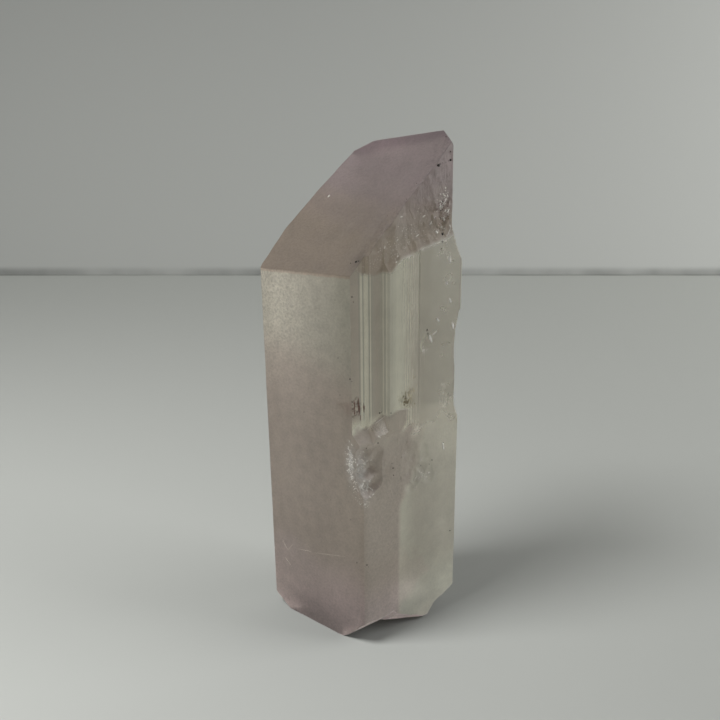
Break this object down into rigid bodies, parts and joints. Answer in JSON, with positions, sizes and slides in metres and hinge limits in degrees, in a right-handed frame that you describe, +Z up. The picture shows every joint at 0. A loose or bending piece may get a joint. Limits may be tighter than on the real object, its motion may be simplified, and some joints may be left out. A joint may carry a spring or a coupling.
{
  "type": "kunzite crystal",
  "caption": "Upright natural crystal of pale pink kunzite: a striated four-sided prism with a sloping end face, cleaved steps and a broken foot that it stands on.",
  "frame": {"origin": "on the surface it stands on, under the middle of the crystal's box", "axes": "+Z up the length of the crystal, -Y towards its front edge, +X towards its broken right side"},
  "size_m": [0.0248, 0.018, 0.0643],
  "materials": {
    "kunzite": "see-through pale pink to grey-green, faces frosted by etching, cleavages glossy"
  },
  "bodies": {
    "root": {"crystal": "kunzite"}
  },
  "joints": []
}
